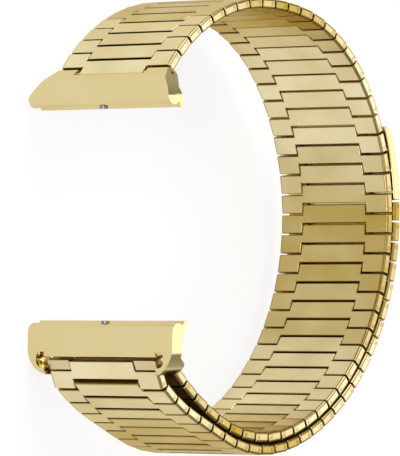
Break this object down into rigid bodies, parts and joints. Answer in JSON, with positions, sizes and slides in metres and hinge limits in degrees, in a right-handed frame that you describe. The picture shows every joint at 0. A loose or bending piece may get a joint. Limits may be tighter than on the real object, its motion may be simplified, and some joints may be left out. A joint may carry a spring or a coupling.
{
  "type": "watch band",
  "caption": "Magnetic steel watch band: T-shaped links that loop through a slotted adapter and back over themselves to a magnetic tab.",
  "frame": {"origin": "centre of the upper adapter's rail, at the middle of the band's width", "axes": "+Z along the hinge pins, +Y from the lower adapter to the upper one, +X from the case to the wrist"},
  "size_m": [0.0714, 0.0799, 0.032],
  "materials": {
    "satin_gold": "satin",
    "polished_gold": "polished",
    "dark_steel": "satin",
    "magnet": "matt"
  },
  "bodies": {
    "upper_adapter": {"upper_adapter": "polished_gold", "upper_pin": "polished_gold", "upper_lock_spring": "dark_steel"},
    "upper_lock_stud": {"upper_lock_stud": "dark_steel"},
    "links_01_02": {"links_01_02": "satin_gold"},
    "links_03_04": {"links_03_04": "satin_gold"},
    "links_05_06": {"links_05_06": "satin_gold"},
    "links_07_08": {"links_07_08": "satin_gold"},
    "links_09_10": {"links_09_10": "satin_gold"},
    "links_11_12": {"links_11_12": "satin_gold"},
    "links_13_14": {"links_13_14": "satin_gold"},
    "links_15_16": {"links_15_16": "satin_gold"},
    "links_17_18": {"links_17_18": "satin_gold"},
    "links_19_20": {"links_19_20": "satin_gold"},
    "links_21_22": {"links_21_22": "satin_gold"},
    "links_23_24": {"links_23_24": "satin_gold"},
    "links_25_26": {"links_25_26": "satin_gold"},
    "links_27_28": {"links_27_28": "satin_gold"},
    "links_29_30": {"links_29_30": "satin_gold"},
    "links_31_32": {"links_31_32": "satin_gold"},
    "links_33_34": {"links_33_34": "satin_gold"},
    "links_35_36": {"links_35_36": "satin_gold"},
    "links_37_38": {"links_37_38": "satin_gold"},
    "links_39_40": {"links_39_40": "satin_gold"},
    "links_41_42": {"links_41_42": "satin_gold"},
    "links_43_44": {"links_43_44": "satin_gold"},
    "links_45_46": {"links_45_46": "satin_gold"},
    "links_47_48": {"links_47_48": "satin_gold"},
    "link_49": {"link_49": "satin_gold"},
    "link_50": {"link_50": "satin_gold"},
    "link_51": {"link_51": "satin_gold"},
    "links_52_53": {"links_52_53": "satin_gold"},
    "links_54_55": {"links_54_55": "satin_gold"},
    "links_56_57": {"links_56_57": "satin_gold"},
    "links_58_59": {"links_58_59": "satin_gold"},
    "links_60_61": {"links_60_61": "satin_gold"},
    "links_62_63": {"links_62_63": "satin_gold"},
    "links_64_65": {"links_64_65": "satin_gold"},
    "links_66_67": {"links_66_67": "satin_gold"},
    "links_68_69": {"links_68_69": "satin_gold"},
    "links_70_71": {"links_70_71": "satin_gold"},
    "links_72_73": {"links_72_73": "satin_gold"},
    "links_74_75": {"links_74_75": "satin_gold"},
    "links_76_77": {"links_76_77": "satin_gold"},
    "lower_adapter": {"lower_adapter": "polished_gold", "lower_lock_spring": "dark_steel"},
    "lower_lock_stud": {"lower_lock_stud": "dark_steel"},
    "tab": {"tab_body": "polished_gold", "tab_keeper": "dark_steel", "tab_magnets": "magnet", "tab_cover": "polished_gold"}
  },
  "joints": [
    {"name": "tab_lift", "type": "hinge", "parent": "links_76_77", "child": "tab", "pos_m": [0.06877, -0.01867, 0], "axis": [0, 0, -1], "range_deg": [0, 60]},
    {"name": "lap_open", "type": "hinge", "parent": "link_49", "child": "link_50", "pos_m": [0.00298, -0.04429, 0], "axis": [0, 0, -1], "range_deg": [0, 30]},
    {"name": "lap_open_50", "type": "hinge", "parent": "link_50", "child": "link_51", "pos_m": [-0.00038, -0.0458, 0], "axis": [0, 0, -1], "range_deg": [-0.01, 60.01]},
    {"name": "adapter_swing", "type": "hinge", "parent": "link_50", "child": "lower_adapter", "pos_m": [0.00206, -0.04672, 0], "axis": [0, 0, 1], "range_deg": [-18, 12]},
    {"name": "upper_lock_press", "type": "slide", "parent": "upper_adapter", "child": "upper_lock_stud", "axis": [0, 1, 0], "range_m": [0, 0.0004], "stiffness_N_per_m": 200},
    {"name": "lower_lock_press", "type": "slide", "parent": "lower_adapter", "child": "lower_lock_stud", "axis": [0, -1, 0], "range_m": [0, 0.0004], "stiffness_N_per_m": 200},
    {"name": "flex_00", "type": "hinge", "parent": "upper_adapter", "child": "links_01_02", "pos_m": [0.0029, 0.004, 0], "axis": [0, 0, 1], "range_deg": [-12, 18]},
    {"name": "flex_04", "type": "hinge", "parent": "links_03_04", "child": "links_05_06", "pos_m": [0.01441, 0.01301, 0], "axis": [0, 0, 1], "range_deg": [-12, 18]},
    {"name": "flex_08", "type": "hinge", "parent": "links_07_08", "child": "links_09_10", "pos_m": [0.02857, 0.01666, 0], "axis": [0, 0, 1], "range_deg": [-12, 18]},
    {"name": "flex_12", "type": "hinge", "parent": "links_11_12", "child": "links_13_14", "pos_m": [0.04315, 0.01498, 0], "axis": [0, 0, 1], "range_deg": [-12, 18]},
    {"name": "flex_16", "type": "hinge", "parent": "links_15_16", "child": "links_17_18", "pos_m": [0.05573, 0.0076, 0], "axis": [0, 0, 1], "range_deg": [-12, 18]},
    {"name": "flex_20", "type": "hinge", "parent": "links_19_20", "child": "links_21_22", "pos_m": [0.06367, -0.00468, 0], "axis": [0, 0, 1], "range_deg": [-12, 18]},
    {"name": "curl_24", "type": "hinge", "parent": "links_23_24", "child": "links_25_26", "pos_m": [0.06659, -0.01903, 0], "axis": [0, 0, -1], "range_deg": [0, 10]},
    {"name": "curl_28", "type": "hinge", "parent": "links_27_28", "child": "links_29_30", "pos_m": [0.06416, -0.03347, 0], "axis": [0, 0, -1], "range_deg": [0, 10]},
    {"name": "curl_32", "type": "hinge", "parent": "links_31_32", "child": "links_33_34", "pos_m": [0.05673, -0.04609, 0], "axis": [0, 0, -1], "range_deg": [0, 10]},
    {"name": "curl_36", "type": "hinge", "parent": "links_35_36", "child": "links_37_38", "pos_m": [0.04525, -0.05518, 0], "axis": [0, 0, -1], "range_deg": [0, 10]},
    {"name": "curl_40", "type": "hinge", "parent": "links_39_40", "child": "links_41_42", "pos_m": [0.03119, -0.05915, 0], "axis": [0, 0, -1], "range_deg": [0, 10]},
    {"name": "curl_44", "type": "hinge", "parent": "links_43_44", "child": "links_45_46", "pos_m": [0.01701, -0.05583, 0], "axis": [0, 0, -1], "range_deg": [0, 10]},
    {"name": "curl_48", "type": "hinge", "parent": "links_47_48", "child": "link_49", "pos_m": [0.00508, -0.04731, 0], "axis": [0, 0, -1], "range_deg": [0, 10]},
    {"name": "peel_53", "type": "hinge", "parent": "links_52_53", "child": "links_54_55", "pos_m": [0.00707, -0.05349, 0], "axis": [0, 0, -1], "range_deg": [0, 15]},
    {"name": "peel_57", "type": "hinge", "parent": "links_56_57", "child": "links_58_59", "pos_m": [0.02042, -0.05968, 0], "axis": [0, 0, -1], "range_deg": [0, 15]},
    {"name": "peel_61", "type": "hinge", "parent": "links_60_61", "child": "links_62_63", "pos_m": [0.03494, -0.06097, 0], "axis": [0, 0, -1], "range_deg": [0, 15]},
    {"name": "peel_65", "type": "hinge", "parent": "links_64_65", "child": "links_66_67", "pos_m": [0.04862, -0.05576, 0], "axis": [0, 0, -1], "range_deg": [0, 15]},
    {"name": "peel_69", "type": "hinge", "parent": "links_68_69", "child": "links_70_71", "pos_m": [0.05958, -0.04603, 0], "axis": [0, 0, -1], "range_deg": [0, 15]},
    {"name": "peel_73", "type": "hinge", "parent": "links_72_73", "child": "links_74_75", "pos_m": [0.06657, -0.03315, 0], "axis": [0, 0, -1], "range_deg": [0, 15]},
    {"name": "flex_02", "type": "hinge", "parent": "links_01_02", "child": "links_03_04", "pos_m": [0.00819, 0.0091, 0], "axis": [0, 0, 1], "range_deg": [-12, 18]},
    {"name": "flex_06", "type": "hinge", "parent": "links_05_06", "child": "links_07_08", "pos_m": [0.02131, 0.01557, 0], "axis": [0, 0, 1], "range_deg": [-12, 18]},
    {"name": "flex_10", "type": "hinge", "parent": "links_09_10", "child": "links_11_12", "pos_m": [0.03592, 0.01635, 0], "axis": [0, 0, 1], "range_deg": [-12, 18]},
    {"name": "flex_14", "type": "hinge", "parent": "links_13_14", "child": "links_15_16", "pos_m": [0.04989, 0.01206, 0], "axis": [0, 0, 1], "range_deg": [-12, 18]},
    {"name": "flex_18", "type": "hinge", "parent": "links_17_18", "child": "links_19_20", "pos_m": [0.06031, 0.00185, 0], "axis": [0, 0, 1], "range_deg": [-12, 18]},
    {"name": "flex_22", "type": "hinge", "parent": "links_21_22", "child": "links_23_24", "pos_m": [0.06579, -0.01172, 0], "axis": [0, 0, 1], "range_deg": [-12, 0]},
    {"name": "curl_26", "type": "hinge", "parent": "links_25_26", "child": "links_27_28", "pos_m": [0.06604, -0.02637, 0], "axis": [0, 0, -1], "range_deg": [0, 10]},
    {"name": "curl_30", "type": "hinge", "parent": "links_29_30", "child": "links_31_32", "pos_m": [0.06102, -0.04012, 0], "axis": [0, 0, -1], "range_deg": [0, 10]},
    {"name": "curl_34", "type": "hinge", "parent": "links_33_34", "child": "links_35_36", "pos_m": [0.05141, -0.05117, 0], "axis": [0, 0, -1], "range_deg": [0, 10]},
    {"name": "curl_38", "type": "hinge", "parent": "links_37_38", "child": "links_39_40", "pos_m": [0.03843, -0.05791, 0], "axis": [0, 0, -1], "range_deg": [0, 10]},
    {"name": "curl_42", "type": "hinge", "parent": "links_41_42", "child": "links_43_44", "pos_m": [0.02388, -0.05844, 0], "axis": [0, 0, -1], "range_deg": [0, 10]},
    {"name": "curl_46", "type": "hinge", "parent": "links_45_46", "child": "links_47_48", "pos_m": [0.01072, -0.05203, 0], "axis": [0, 0, -1], "range_deg": [0, 10]},
    {"name": "peel_51", "type": "hinge", "parent": "link_51", "child": "links_52_53", "pos_m": [0.00114, -0.04916, 0], "axis": [0, 0, -1], "range_deg": [0, 15]},
    {"name": "peel_55", "type": "hinge", "parent": "links_54_55", "child": "links_56_57", "pos_m": [0.01369, -0.05671, 0], "axis": [0, 0, -1], "range_deg": [0, 15]},
    {"name": "peel_59", "type": "hinge", "parent": "links_58_59", "child": "links_60_61", "pos_m": [0.0276, -0.06123, 0], "axis": [0, 0, -1], "range_deg": [0, 15]},
    {"name": "peel_63", "type": "hinge", "parent": "links_62_63", "child": "links_64_65", "pos_m": [0.04203, -0.059, 0], "axis": [0, 0, -1], "range_deg": [0, 15]},
    {"name": "peel_67", "type": "hinge", "parent": "links_66_67", "child": "links_68_69", "pos_m": [0.05453, -0.05137, 0], "axis": [0, 0, -1], "range_deg": [0, 15]},
    {"name": "peel_71", "type": "hinge", "parent": "links_70_71", "child": "links_72_73", "pos_m": [0.06363, -0.0399, 0], "axis": [0, 0, -1], "range_deg": [0, 15]},
    {"name": "peel_75", "type": "hinge", "parent": "links_74_75", "child": "links_76_77", "pos_m": [0.0683, -0.02601, 0], "axis": [0, 0, -1], "range_deg": [0, 15]}
  ],
  "couplings": [
    {"joint": "lap_open_50", "follows": "lap_open", "ratio": 2}
  ]
}
